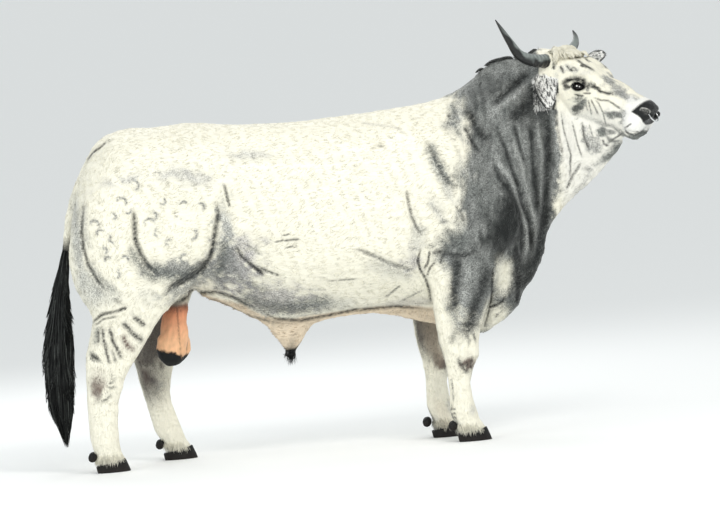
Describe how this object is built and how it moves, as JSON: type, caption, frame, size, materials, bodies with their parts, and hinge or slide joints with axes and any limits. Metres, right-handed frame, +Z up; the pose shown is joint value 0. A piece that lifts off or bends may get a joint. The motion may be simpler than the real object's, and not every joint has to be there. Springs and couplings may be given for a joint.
{
  "type": "standing bull",
  "caption": "Life-size white beef bull with dark neck, lyre horns, nose ring and black tail switch, standing square with the head turned.",
  "frame": {"origin": "on the floor, below the middle of the whole animal", "axes": "+X towards the head along the back, +Y towards the bull's left side, +Z up"},
  "size_m": [2.8645, 0.729, 1.8785],
  "materials": {
    "pale coat": "short cream-white hair",
    "dark coat": "short slate-grey hair",
    "horn": "satin dark horn",
    "claw horn": "matte black horn",
    "eye": "wet gloss",
    "nose ring": "polished",
    "bare skin": "smooth skin",
    "pale skin": "smooth skin with a hair tuft",
    "switch hair": "long black hair"
  },
  "bodies": {
    "root": {"claw_fore_left_inner": "claw horn", "claw_fore_left_outer": "claw horn", "claw_fore_right_inner": "claw horn", "claw_fore_right_outer": "claw horn", "claw_hind_left_inner": "claw horn", "claw_hind_left_outer": "claw horn", "claw_hind_right_inner": "claw horn", "claw_hind_right_outer": "claw horn", "dewclaw_fore_left_inner": "claw horn", "dewclaw_fore_left_outer": "claw horn", "dewclaw_fore_right_inner": "claw horn", "dewclaw_fore_right_outer": "claw horn", "dewclaw_hind_left_inner": "claw horn", "dewclaw_hind_left_outer": "claw horn", "dewclaw_hind_right_inner": "claw horn", "dewclaw_hind_right_outer": "claw horn", "ear_left": "pale coat", "eye_left": "eye", "horn_left": "horn", "foreleg_left": "pale coat", "hindleg_left": "pale coat", "ear_right": "pale coat", "eye_right": "eye", "horn_right": "horn", "foreleg_right": "pale coat", "hindleg_right": "pale coat", "head": "pale coat", "neck": "dark coat", "torso": "pale coat", "nose_ring": "nose ring", "scrotum": "bare skin", "sheath": "pale skin", "tail_dock": "pale coat", "tail_switch": "switch hair"}
  },
  "joints": []
}
